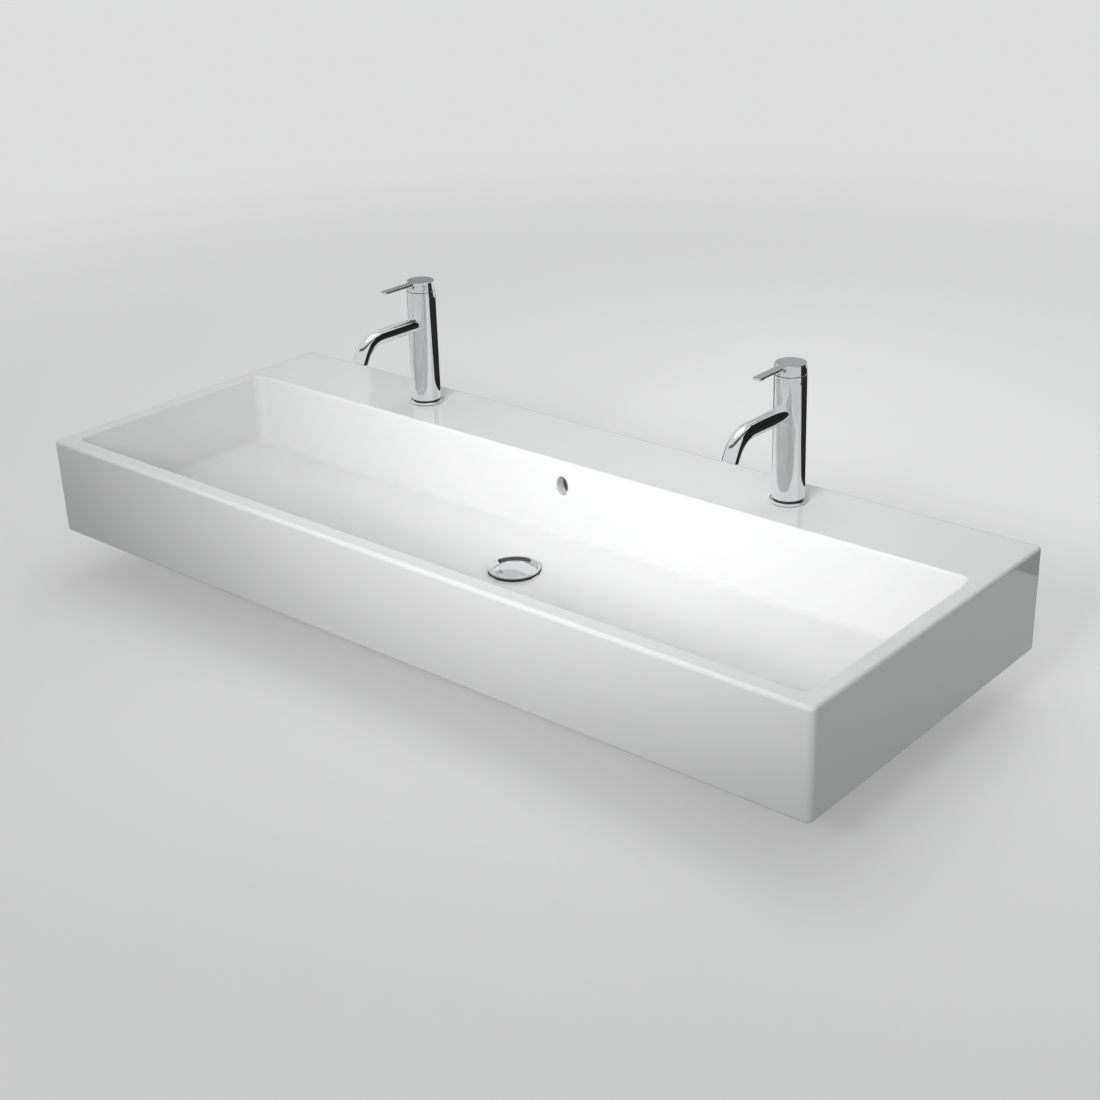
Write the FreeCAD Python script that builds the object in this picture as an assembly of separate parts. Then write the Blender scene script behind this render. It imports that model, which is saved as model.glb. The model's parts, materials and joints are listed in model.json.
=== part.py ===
import FreeCAD, Part
import math
import os

# Vanity basin with two lever mixers and a push-open waste.
# Millimetres. X runs along the wall, Y towards the wall, Z up.
# The origin is on the wall plane, midway between the two wall bolts.

# Ceramic, outside
basin_width = 1200.0
basin_depth = 470.0
basin_height = 130.0
basin_draft = 2.0
front_corner_radius = 8.0
back_corner_radius = 5.0
top_edge_radius = 5.0
foot_edge_radius = 3.0

# Ceramic, bowl
front_rim = 25.0
side_rim = 22.0
tap_deck = 125.0
bowl_edge_depth = 101.0
drain_depth = 117.0
bowl_draft = 3.0
bowl_corner_radius = 14.0
bowl_foot_radius = 10.0
rim_edge_radius = 4.0
floor_wall = 13.0
drain_from_wall = 222.0
floor_grid_count = 9

# Ceramic, hollow below the tap deck and recess below the floor
deck_wall = 14.0
back_wall = 14.0
end_wall = 18.0
bowl_back_wall = 13.0
hollow_corner_radius = 8.0
recess_wall = 27.0
recess_corner_radius = 20.0

# Ceramic, wall bolts
bolt_drop = 62.0
bolt_spacing = 280.0
bolt_hole_radius = 9.0

# Ceramic, overflow duct and drain boss
overflow_width = 18.4
overflow_height = 25.0
overflow_drop = 33.7
overflow_edge_radius = 2.0
duct_width = 44.0
duct_depth = 20.0
duct_height = 14.0
duct_wall = 9.0
duct_corner_radius = 6.0
boss_radius = 40.0
boss_depth = 152.0
drain_hole_radius = 23.0
drain_recess_radius = 33.5
drain_recess_depth = 5.0

# Waste
waste_flange_radius = 32.0
waste_flange_height = 3.0
waste_tube_radius = 21.6
waste_bore_radius = 17.5
waste_length = 78.0
outlet_radius = 20.95
outlet_length = 24.0
relief_radius = 20.0
relief_height = 2.0
flange_gasket_height = 1.5
flange_gasket_radius = 30.0
slot_width = 8.0
slot_height = 12.0
slot_count = 4
bridge_hub_radius = 10.0
bridge_height = 9.0
bridge_drop = 20.0
bridge_arm_width = 4.0
bridge_arm_count = 3
waste_gasket_radius = 31.0
waste_gasket_height = 6.0
slip_washer_radius = 29.0
slip_washer_height = 1.5
waste_nut_width = 56.0
waste_nut_height = 9.0

# Plug of the waste
cover_radius = 33.0
cover_height = 5.5
cover_lip_height = 3.8
cover_edge_radius = 0.8
cover_mouth_radius = 31.3
cover_groove_radius = 30.8
cover_plate = 1.4
cover_dome_radius = 27.6
cover_dome_rise = 4.6
cover_wall = 2.2
cover_gap = 0.8
plug_seal_radius = 32.2
plug_grip = 2.5
plug_travel = 8.0
plug_stem_radius = 3.0
plug_foot_radius = 5.0
plug_foot_height = 4.0
plug_boss_radius = 6.5
click_radius = 7.5
click_collar_radius = 9.0
click_collar_height = 3.0
click_chamber_radius = 5.6
click_guide_height = 5.0
click_floor = 2.0
spring_radius = 4.3
spring_wire_radius = 0.6
spring_height = 16.0
spring_turn_count = 5

# Mixer, place and outside
tap_spacing = 600.0
tap_from_wall = 60.0
tap_hole_radius = 17.5
base_gasket_radius = 21.5
base_gasket_height = 1.0
base_ring_radius = 23.0
base_ring_height = 3.0
base_ring_edge_radius = 1.0
shadow_gap = 1.6
shadow_radius = 18.0
neck_radius = 16.5
neck_drop = 8.0
column_height = 155.0
column_foot_radius = 19.8
column_top_radius = 19.4
column_foot_chamfer = 0.8
collar_spigot_radius = 17.6
collar_spigot_wall = 1.6
collar_spigot_depth = 2.0

# Mixer, spout and aerator
spout_height = 115.0
spout_radius = 9.8
spout_wall = 2.3
spout_reach = 85.0
spout_bend_radius = 36.0
spout_bend_angle = 62.0
spout_tail = 9.5
spout_socket = 8.0
aerator_radius = 8.6
aerator_depth = 8.0
aerator_wall = 1.3
aerator_flange_radius = 9.4
aerator_flange_height = 1.2
aerator_lip = 0.9
aerator_insert_height = 5.0

# Mixer, handle
handle_gap = 0.8
handle_radius = 19.0
handle_height = 13.0
handle_wall = 2.5
handle_plate = 3.6
handle_edge_chamfer = 0.5
lever_length = 72.0
lever_width = 11.0
lever_thickness = 4.0
lever_tip_radius = 3.0
lever_tip_chamfer = 2.0
lever_pivot_rise = 5.0
lever_lift_angle = 20.0
notch_radius = 7.0
notch_land = 1.2
notch_block_width = 16.0
notch_block_depth = 9.0
boss_reach = 9.0
boss_drop = 7.5
set_screw_radius = 1.5
set_screw_length = 7.0

# Mixer, cartridge
nut_clearance = 0.8
nut_height = 3.5
nut_radius = 14.0
nut_bore_radius = 11.7
cartridge_radius = 12.5
cartridge_neck_radius = 11.6
cartridge_neck_rise = 0.6
chamber_radius = 10.4
guide_radius = 9.0
guide_height = 2.5
cartridge_length = 14.5
cartridge_base_height = 4.0
disc_radius = 10.3
disc_height = 3.2
moving_disc_radius = 6.4
moving_disc_height = 3.6
pocket_depth = 2.2
pocket_width = 5.2
carrier_flange = 0.95
carrier_flange_height = 1.3
carrier_rise = 2.0
cheek_thickness = 3.6
cheek_round = 3.5
stem_width = 5.8
stem_depth = 5.0
stem_shoulder = 9.0
tail_width = 4.0
tail_depth = 3.0
pin_radius = 1.5
water_port_radius = 3.0
water_port_spread = 7.0
water_port_setback = 5.0
outlet_port_setback = 6.0

# Mixer, supply ports and fixing
supply_port_radius = 4.5
supply_port_length = 18.0
supply_port_spread = 7.5
stud_radius = 4.0
stud_setback = 9.5
stud_length = 66.0
stud_grip = 18.0
clamp_radius = 22.0
clamp_pad_height = 3.0
clamp_plate_height = 3.0
clamp_gap_width = 27.2
clamp_gap_setback = 3.5
clamp_nut_width = 13.0
clamp_nut_height = 12.0

# Fits
running_fit = 0.05
seat_fit = 0.1
moving_gap = 0.3
overrun = 2.0

FULL_TURN = 360.0
QUARTER_TURN = 90.0
HEX_COUNT = 6
UP = FreeCAD.Vector(0, 0, 1)
ORIGIN = FreeCAD.Vector(0, 0, 0)

# Heights of the ceramic, from the origin
rim_z = bolt_drop
foot_z = rim_z - basin_height
seat_z = rim_z - drain_depth - drain_recess_depth
boss_z = rim_z - boss_depth
duct_floor_z = boss_z + duct_wall
duct_roof_z = duct_floor_z + duct_height
drain_y = -drain_from_wall

# Bowl outline at the rim
bowl_half = basin_width / 2 - side_rim
bowl_front_y = front_rim - basin_depth
bowl_back_y = -tap_deck

# Heights of the waste
flange_foot_z = seat_z + flange_gasket_height
flange_top_z = flange_foot_z + waste_flange_height
waste_end_z = flange_top_z - waste_length
bridge_top_z = flange_top_z - bridge_drop
cover_foot_z = flange_top_z + cover_gap
cover_crest_z = cover_foot_z + cover_height
cover_lip_z = cover_crest_z - cover_lip_height
gasket_foot_z = boss_z - waste_gasket_height
washer_foot_z = gasket_foot_z - slip_washer_height
click_top_z = bridge_top_z + click_collar_height
plug_foot_top_z = click_top_z - click_guide_height - plug_travel - moving_gap
plug_foot_z = plug_foot_top_z - plug_foot_height
click_foot_z = plug_foot_z - spring_height - click_floor

# Heights of a mixer, from the deck
ring_top = base_gasket_height + base_ring_height
column_foot = ring_top + shadow_gap
column_top = column_foot + column_height
skirt_foot = column_top + handle_gap
handle_top = skirt_foot + handle_height
plate_foot = handle_top - handle_plate
lever_foot = handle_top - lever_thickness
pivot_height = skirt_foot + lever_pivot_rise
lift = math.radians(lever_lift_angle)
skirt_dip = handle_radius * math.sin(lift) + lever_pivot_rise * math.cos(lift)
nut_top = pivot_height - skirt_dip - nut_clearance
nut_foot = nut_top - nut_height
cartridge_seat = nut_foot - cartridge_length
base_top = cartridge_seat + cartridge_base_height
neck_top = nut_top + cartridge_neck_rise
chamber_top = neck_top - guide_height
fixed_disc_top = base_top + disc_height
moving_disc_foot = fixed_disc_top + moving_gap
moving_disc_top = moving_disc_foot + moving_disc_height
carrier_top = neck_top + carrier_rise
tail_foot = moving_disc_top - pocket_depth + moving_gap
disc_travel = (pivot_height - moving_disc_top + pocket_depth / 2) * math.tan(lift)


def vec(x, y, z):
    return FreeCAD.Vector(x, y, z)


def block(x0, x1, y0, y1, z0, z1):
    """A box between two corners."""
    return Part.makeBox(x1 - x0, y1 - y0, z1 - z0, vec(x0, y0, z0))


def post(radius, z0, z1, x=0, y=0):
    """An upright cylinder between two heights."""
    return Part.makeCylinder(radius, z1 - z0, vec(x, y, z0))


def ring(outer, inner, z0, z1, x=0, y=0):
    """An upright ring between two heights."""
    return post(outer, z0, z1, x, y).cut(post(inner, z0 - overrun, z1 + overrun, x, y))


def turned(outline):
    """A solid turned about Z from (radius, height) points."""
    points = [vec(radius, 0, height) for radius, height in outline]
    face = Part.Face(Part.makePolygon(points + points[:1]))
    return face.revolve(ORIGIN, UP, FULL_TURN)


def hexagon(width, z0, z1, x=0, y=0):
    """An upright hexagonal prism, sized across its flats."""
    corner = width / 2 / math.cos(math.pi / HEX_COUNT)
    turns = [2 * math.pi * step / HEX_COUNT for step in range(HEX_COUNT + 1)]
    points = [vec(x + corner * math.cos(t), y + corner * math.sin(t), z0) for t in turns]
    return Part.Face(Part.makePolygon(points)).extrude(vec(0, 0, z1 - z0))


def frustum(foot, top, z0, z1):
    """A block whose flat walls lean: foot and top are (x0, x1, y0, y1) outlines."""
    fx0, fx1, fy0, fy1 = foot
    tx0, tx1, ty0, ty1 = top
    wedge = Part.makeWedge(fx0, z0, -fy1, -ty1, tx0, fx1, z1, -fy0, -ty0, tx1)
    wedge.rotate(ORIGIN, vec(1, 0, 0), QUARTER_TURN)
    return Part.makeSolid(wedge.Shells[0])


def upright_edges(shape):
    """Edges that climb through most of the shape's height."""
    span = shape.BoundBox.ZLength / 2
    return [edge for edge in shape.Edges if edge.BoundBox.ZLength > span]


def level_edges(shape, z0, z1):
    """Edges that lie wholly between two heights."""
    return [e for e in shape.Edges if e.BoundBox.ZMin > z0 and e.BoundBox.ZMax < z1]


def rounded_block(x0, x1, y0, y1, z0, z1, radius):
    """A box with round upright corners."""
    solid = block(x0, x1, y0, y1, z0, z1)
    return solid.makeFillet(radius, upright_edges(solid))


def floor_point(x, y):
    """A point of the bowl's floor, which dips in both directions to the drain."""
    half = bowl_half - bowl_draft
    edge_y = bowl_front_y + bowl_draft if y < drain_y else bowl_back_y - bowl_draft
    along_share = 1 - (x / half) ** 2
    across_share = 1 - ((y - drain_y) / (edge_y - drain_y)) ** 2
    fall = (drain_depth - bowl_edge_depth) * along_share * across_share
    return vec(x, y, rim_z - bowl_edge_depth - fall)


def spread(start, end, count):
    """Evenly spaced values, both ends included."""
    return [start + (end - start) * step / (count - 1) for step in range(count)]


def space_over_floor(sink):
    """Everything above the bowl's floor when the floor is lowered by sink."""
    xs = spread(-bowl_half - overrun, bowl_half + overrun, 2 * floor_grid_count - 1)
    front_ys = spread(bowl_front_y - overrun, drain_y, floor_grid_count)
    ys = front_ys + spread(drain_y, bowl_back_y + overrun, floor_grid_count)[1:]
    surface = Part.BSplineSurface()
    surface.interpolate([[floor_point(x, y) for y in ys] for x in xs])
    face = surface.toShape()
    face.translate(vec(0, 0, -sink))
    return face.extrude(vec(0, 0, drain_depth + sink + basin_height))


def ceramic_block():
    """The outer form: leaning front and sides, upright back, round edges."""
    half = basin_width / 2
    top = (-half, half, -basin_depth, 0)
    foot = (basin_draft - half, half - basin_draft, basin_draft - basin_depth, 0)
    solid = frustum(foot, top, foot_z, rim_z)
    middle_y = -basin_depth / 2
    front = [e for e in upright_edges(solid) if e.CenterOfMass.y < middle_y]
    solid = solid.makeFillet(front_corner_radius, front)
    back = [e for e in upright_edges(solid) if e.BoundBox.YMin > -overrun]
    solid = solid.makeFillet(back_corner_radius, back)
    solid = solid.makeFillet(top_edge_radius, level_edges(solid, rim_z - overrun, rim_z + overrun))
    return solid.makeFillet(foot_edge_radius, level_edges(solid, foot_z - overrun, foot_z + overrun))


def bowl_space():
    """The hollow of the bowl, with round corners and a dished floor."""
    def outline(depth):
        inset = bowl_draft * depth / bowl_edge_depth
        return (inset - bowl_half, bowl_half - inset, bowl_front_y + inset, bowl_back_y - inset)

    depth = drain_depth + overrun
    walls = frustum(outline(depth), outline(-overrun), rim_z - depth, rim_z + overrun)
    space = walls.common(space_over_floor(0)).Solids[0]
    space = space.makeFillet(bowl_corner_radius, upright_edges(space))
    floor_top = rim_z - bowl_edge_depth + overrun
    return space.makeFillet(bowl_foot_radius, level_edges(space, rim_z - depth, floor_top))


def deck_hollow():
    """The hollow below the tap deck, open downwards."""
    half = basin_width / 2 - end_wall
    front_y = bowl_back_y + bowl_back_wall
    top = rim_z - deck_wall
    return rounded_block(-half, half, front_y, -back_wall, foot_z - overrun, top, hollow_corner_radius)


def floor_recess():
    """The shallow recess below the floor, which keeps the floor's wall even."""
    half = basin_width / 2 - recess_wall
    front_y = recess_wall - basin_depth
    back_y = bowl_back_y - bowl_draft
    space = rounded_block(-half, half, front_y, back_y, foot_z - overrun, rim_z, recess_corner_radius)
    return space.cut(space_over_floor(floor_wall))


def duct_body():
    """The drain boss and the duct's outer walls, behind the bowl and below its floor."""
    half = duct_width / 2 + duct_wall
    front_y = bowl_back_y + bowl_back_wall / 2
    back_y = bowl_back_y + bowl_back_wall + duct_depth + duct_wall
    riser = rounded_block(-half, half, front_y, back_y, boss_z, rim_z - deck_wall / 2, duct_corner_radius)
    run = rounded_block(-half, half, drain_y, back_y, boss_z, rim_z - bowl_edge_depth, duct_corner_radius)
    boss = post(boss_radius, boss_z, rim_z - bowl_edge_depth, 0, drain_y)
    below = run.fuse(boss).cut(space_over_floor(floor_wall / 2))
    return riser.fuse(below)


def duct_space():
    """The water's way from the overflow hole down and forward to the drain."""
    half = duct_width / 2
    front_y = bowl_back_y + bowl_back_wall
    back_y = front_y + duct_depth
    top = rim_z - overflow_drop + overflow_height / 2 + overflow_edge_radius
    riser = rounded_block(-half, half, front_y, back_y, duct_floor_z, top, duct_corner_radius)
    run = block(-half, half, drain_y, back_y - duct_corner_radius, duct_floor_z, duct_roof_z)
    return riser.fuse(run)


def overflow_space():
    """The upright oval hole through the bowl's back wall into the duct."""
    start_y = bowl_back_y - bowl_draft - overrun
    middle_z = rim_z - overflow_drop
    top = vec(0, start_y, middle_z + overflow_height / 2)
    side = vec(overflow_width / 2, start_y, middle_z)
    oval = Part.Wire(Part.Ellipse(top, side, vec(0, start_y, middle_z)).toShape())
    length = bowl_draft + overrun + bowl_back_wall + duct_depth / 2
    return Part.Face(oval).extrude(vec(0, length, 0))


def basin():
    """The ceramic casting."""
    shell = ceramic_block().cut(bowl_space())
    inner_half = bowl_half + overrun
    rim_edges = [
        edge for edge in level_edges(shell, rim_z - overrun, rim_z + overrun)
        if edge.BoundBox.XMax < inner_half and edge.BoundBox.XMin > -inner_half
        and edge.BoundBox.YMax < bowl_back_y + overrun
        and edge.BoundBox.YMin > bowl_front_y - overrun
    ]
    shell = shell.makeFillet(rim_edge_radius, rim_edges)
    shell = shell.cut(deck_hollow()).cut(floor_recess())
    shell = shell.fuse(duct_body()).cut(duct_space())

    seat = post(drain_recess_radius, seat_z, rim_z, 0, drain_y)
    drain = post(drain_hole_radius, boss_z - overrun, rim_z, 0, drain_y)
    shell = shell.cut(seat).cut(drain)

    shell = shell.cut(overflow_space())
    mouth = [
        edge for edge in shell.Edges
        if abs(edge.BoundBox.XLength - overflow_width) < seat_fit
        and edge.BoundBox.YMax < bowl_back_y
        and edge.BoundBox.ZMin > rim_z - overflow_drop - overflow_height
    ]
    shell = shell.makeFillet(overflow_edge_radius, mouth)

    for x in (-tap_spacing / 2, tap_spacing / 2):
        tap_hole = post(tap_hole_radius, rim_z - deck_wall - overrun, rim_z + overrun, x, -tap_from_wall)
        shell = shell.cut(tap_hole)
    for x in (-bolt_spacing / 2, bolt_spacing / 2):
        bolt = Part.makeCylinder(bolt_hole_radius, back_wall + 2 * overrun, vec(x, overrun, 0), vec(0, -1, 0))
        shell = shell.cut(bolt)
    return shell


def waste_body():
    """Flange, tube with overflow slots, outlet thread, and the bridge that holds the click cartridge."""
    outlet_top_z = waste_end_z + outlet_length
    body = turned([
        (waste_bore_radius, waste_end_z),
        (outlet_radius, waste_end_z),
        (outlet_radius, outlet_top_z),
        (relief_radius, outlet_top_z),
        (relief_radius, outlet_top_z + relief_height),
        (waste_tube_radius, outlet_top_z + relief_height),
        (waste_tube_radius, flange_foot_z),
        (waste_flange_radius, flange_foot_z),
        (waste_flange_radius, flange_top_z - waste_flange_height / 2),
        (waste_flange_radius - waste_flange_height / 2, flange_top_z),
        (waste_tube_radius, flange_top_z),
        (waste_bore_radius, flange_top_z - waste_flange_height),
    ])
    slot_z = (duct_floor_z + duct_roof_z - slot_height) / 2
    for step in range(slot_count):
        reach = waste_tube_radius + overrun
        slot = block(0, reach, -slot_width / 2, slot_width / 2, slot_z, slot_z + slot_height)
        slot.rotate(ORIGIN, UP, FULL_TURN * (step + 1 / 2) / slot_count)
        body = body.cut(slot)
    bridge_foot_z = bridge_top_z - bridge_height
    wall_middle = (waste_tube_radius + waste_bore_radius) / 2
    for step in range(bridge_arm_count):
        arm = block(0, wall_middle, -bridge_arm_width / 2, bridge_arm_width / 2, bridge_foot_z, bridge_top_z)
        arm.rotate(ORIGIN, UP, FULL_TURN * step / bridge_arm_count)
        body = body.fuse(arm)
    body = body.fuse(post(bridge_hub_radius, bridge_foot_z, bridge_top_z))
    return body.cut(post(click_radius, bridge_foot_z - overrun, bridge_top_z + overrun)).removeSplitter()


def click_cartridge():
    """Plastic cartridge that guides the plug's stem."""
    body = turned([
        (0, click_foot_z),
        (click_radius, click_foot_z),
        (click_radius, bridge_top_z),
        (click_collar_radius, bridge_top_z),
        (click_collar_radius, click_top_z),
        (0, click_top_z),
    ])
    chamber = post(click_chamber_radius, click_foot_z + click_floor, click_top_z - click_guide_height)
    guide = post(plug_stem_radius + running_fit, click_foot_z + click_floor, click_top_z + overrun)
    return body.cut(chamber).cut(guide)


def click_spring():
    """Spring below the stem's foot, drawn at its pressed length."""
    pitch = (spring_height - 2 * spring_wire_radius) / spring_turn_count
    path = Part.makeHelix(pitch, pitch * spring_turn_count, spring_radius)
    start = vec(spring_radius, 0, 0)
    wire = Part.Wire(Part.makeCircle(spring_wire_radius, start, vec(0, 1, 0)))
    coil = Part.Wire(path.Edges).makePipeShell([wire], True, True)
    coil.translate(vec(0, 0, click_foot_z + click_floor + spring_wire_radius))
    return coil


def plug_stem():
    """Brass stem with a foot in the click cartridge and its head in the cover's boss."""
    return turned([
        (0, plug_foot_z),
        (plug_foot_radius, plug_foot_z),
        (plug_foot_radius, plug_foot_top_z),
        (plug_stem_radius, plug_foot_top_z),
        (plug_stem_radius, cover_foot_z + plug_grip),
        (0, cover_foot_z + plug_grip),
    ])


def waste_cover():
    """Dished cover: a round lip, a slope inside it, a dome in the middle and a boss that takes the stem."""
    dome_z = cover_foot_z + cover_plate
    plate = turned([
        (0, cover_foot_z),
        (cover_groove_radius, cover_foot_z),
        (cover_groove_radius, cover_lip_z),
        (cover_radius, cover_lip_z),
        (cover_radius, cover_crest_z),
        (cover_mouth_radius, cover_crest_z),
        (cover_dome_radius, dome_z),
        (0, dome_z),
    ])
    crest = level_edges(plate, cover_crest_z - cover_edge_radius, cover_crest_z + overrun)
    plate = plate.makeFillet(cover_edge_radius, crest)
    sphere_radius = (cover_dome_radius ** 2 + cover_dome_rise ** 2) / (2 * cover_dome_rise)
    centre = vec(0, 0, dome_z + cover_dome_rise - sphere_radius)
    outer = Part.makeSphere(sphere_radius, centre)
    dome = post(cover_dome_radius, dome_z, cover_crest_z + overrun).common(outer)
    inner = Part.makeSphere(sphere_radius - cover_wall, centre)
    hollow = post(cover_dome_radius, cover_foot_z - overrun, cover_crest_z).common(inner)
    hollow = hollow.cut(post(plug_boss_radius, cover_foot_z - overrun, cover_crest_z + overrun))
    stem_hole = post(plug_stem_radius, cover_foot_z - overrun, cover_foot_z + plug_grip)
    return plate.fuse(dome).cut(hollow).cut(stem_hole).removeSplitter()


def plug_seal():
    """Rubber ring in the groove below the cover's lip, which closes on the flange."""
    return ring(plug_seal_radius, cover_groove_radius, flange_top_z + moving_gap, cover_lip_z)


def waste_pieces():
    """All pieces of the waste, still on the Z axis."""
    gasket = turned([
        (waste_tube_radius + seat_fit, gasket_foot_z),
        (slip_washer_radius, gasket_foot_z),
        (waste_gasket_radius, boss_z),
        (waste_tube_radius + seat_fit, boss_z),
    ])
    nut_hole = post(waste_tube_radius + seat_fit, waste_end_z, gasket_foot_z)
    nut = hexagon(waste_nut_width, washer_foot_z - waste_nut_height, washer_foot_z).cut(nut_hole)
    return {
        "waste_body": waste_body(),
        "flange_gasket": ring(flange_gasket_radius, waste_tube_radius + seat_fit, seat_z, flange_foot_z),
        "waste_gasket": gasket,
        "slip_washer": ring(slip_washer_radius, waste_tube_radius + seat_fit, washer_foot_z, gasket_foot_z),
        "waste_nut": nut,
        "click_cartridge": click_cartridge(),
        "click_spring": click_spring(),
        "plug_stem": plug_stem(),
        "waste_cover": waste_cover(),
        "plug_seal": plug_seal(),
    }


def spout_end():
    """Centre and outward direction of the spout's mouth, from the tap's axis and deck."""
    turn = math.radians(spout_bend_angle)
    outward = vec(0, -math.cos(turn), -math.sin(turn))
    bend_y = -spout_reach - spout_bend_radius * math.sin(turn)
    bend_z = spout_height - spout_bend_radius * (1 - math.cos(turn))
    return vec(0, bend_y, bend_z) + outward * spout_tail, outward


def spout_sweep(radius, start_y):
    """A round bar along the spout's centre line."""
    turn = math.radians(spout_bend_angle)
    mouth, outward = spout_end()
    bend_start = vec(0, -spout_reach, spout_height)
    bend_end = mouth - outward * spout_tail
    half = turn / 2
    rise = spout_bend_radius * (1 - math.cos(half))
    bend_middle = vec(0, -spout_reach - spout_bend_radius * math.sin(half), spout_height - rise)
    start = vec(0, start_y, spout_height)
    path = Part.Wire([
        Part.makeLine(start, bend_start),
        Part.Arc(bend_start, bend_middle, bend_end).toShape(),
        Part.makeLine(bend_end, mouth),
    ])
    profile = Part.Wire(Part.makeCircle(radius, start, vec(0, 1, 0)))
    return path.makePipeShell([profile], True, True)


def at_mouth(shape):
    """Move a shape whose Z axis points outwards from the origin to the spout's mouth."""
    mouth, outward = spout_end()
    shape.Placement = FreeCAD.Placement(mouth, FreeCAD.Rotation(UP, outward))
    return shape


def spout():
    """Bent tube, let into the column, with a seat for the aerator in its mouth."""
    tube = spout_sweep(spout_radius, -spout_socket).cut(spout_sweep(spout_radius - spout_wall, -spout_socket))
    return tube.cut(at_mouth(post(aerator_radius, -aerator_depth, overrun)))


def aerator_housing():
    """Sleeve in the spout's mouth with a flange outside and a lip that holds the insert."""
    inside = aerator_radius - aerator_wall
    return at_mouth(turned([
        (inside, -aerator_depth),
        (aerator_radius, -aerator_depth),
        (aerator_radius, 0),
        (aerator_flange_radius, 0),
        (aerator_flange_radius, aerator_flange_height),
        (inside - aerator_lip, aerator_flange_height),
        (inside - aerator_lip, 0),
        (inside, 0),
    ]))


def aerator_insert():
    """Flow straightener that rests on the housing's lip."""
    return at_mouth(post(aerator_radius - aerator_wall, -aerator_insert_height, 0))


def column_form():
    """Outside of the column and its collar."""
    return turned([
        (0, -neck_drop),
        (neck_radius, -neck_drop),
        (neck_radius, ring_top),
        (shadow_radius, ring_top),
        (shadow_radius, column_foot),
        (column_foot_radius - column_foot_chamfer, column_foot),
        (column_foot_radius, column_foot + column_foot_chamfer),
        (column_top_radius, column_top),
        (0, column_top),
    ])


def collar():
    """Ring on top of the column, hollowed to a ball so that the handle's back edge can dip into it."""
    body = column_form().cut(post(column_foot_radius, -neck_drop, nut_top))
    swing_radius = math.hypot(handle_radius, lever_pivot_rise) + moving_gap
    body = body.cut(Part.makeSphere(swing_radius, vec(0, 0, pivot_height)))
    spigot_bore = collar_spigot_radius - collar_spigot_wall
    spigot = ring(collar_spigot_radius, spigot_bore, nut_top - collar_spigot_depth, nut_top)
    return body.fuse(spigot).removeSplitter()


def column():
    """Brass column with its cartridge seat, waterways, spout socket and supply ports."""
    body = column_form().cut(post(column_foot_radius, nut_top, column_top + overrun))
    body = body.cut(post(collar_spigot_radius + seat_fit, nut_top - collar_spigot_depth, column_top))
    body = body.cut(post(nut_radius + seat_fit, nut_foot, column_top))
    body = body.cut(post(cartridge_radius + running_fit, cartridge_seat, column_top))
    for x in (-water_port_spread, water_port_spread):
        body = body.cut(post(water_port_radius, 0, cartridge_seat + overrun, x, water_port_setback))
    for x in (-supply_port_spread, supply_port_spread):
        foot = -neck_drop - overrun
        body = body.cut(post(supply_port_radius, foot, supply_port_length - neck_drop, x, water_port_setback))
    body = body.cut(post(stud_radius, -neck_drop - overrun, stud_grip - neck_drop, 0, -stud_setback))
    body = body.cut(post(water_port_radius, spout_height, cartridge_seat + overrun, 0, -outlet_port_setback))
    body = body.cut(spout_sweep(spout_radius, -spout_socket))
    bore = Part.makeCylinder(spout_radius - spout_wall, spout_socket, vec(0, 0, spout_height), vec(0, -1, 0))
    return body.cut(bore)


def cartridge_base():
    """Plate with two inlets and one outlet, below the discs."""
    plate = post(cartridge_radius, cartridge_seat, base_top)
    return with_ports(plate, cartridge_seat, base_top)


def fixed_disc():
    """Ceramic disc that stays still."""
    return with_ports(post(disc_radius, base_top, fixed_disc_top), base_top, fixed_disc_top)


def with_ports(plate, foot, top):
    """Cut the two inlets and the outlet through a plate of the cartridge."""
    for x in (-water_port_spread, water_port_spread):
        plate = plate.cut(post(water_port_radius, foot - overrun, top + overrun, x, water_port_setback))
    return plate.cut(post(water_port_radius, foot - overrun, top + overrun, 0, -outlet_port_setback))


def moving_disc():
    """Ceramic disc that the stem's tail pushes over the ports."""
    disc = post(moving_disc_radius, moving_disc_foot, moving_disc_top, 0, disc_travel / 2)
    half = pocket_width / 2
    pocket_foot = moving_disc_top - pocket_depth
    return disc.cut(block(-half, half, -half, half, pocket_foot, moving_disc_top + overrun))


def cartridge_housing():
    """Cup that holds the discs and guides the carrier in its neck."""
    return turned([
        (chamber_radius, base_top),
        (cartridge_radius, base_top),
        (cartridge_radius, nut_foot),
        (cartridge_neck_radius, nut_foot),
        (cartridge_neck_radius, neck_top),
        (guide_radius, neck_top),
        (guide_radius, chamber_top),
        (chamber_radius, chamber_top),
    ])


def cross_bar(radius, reach):
    """A round bar on the lever's pivot, reaching equally to both sides."""
    return Part.makeCylinder(radius, 2 * reach, vec(-reach, 0, pivot_height), vec(1, 0, 0))


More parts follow.
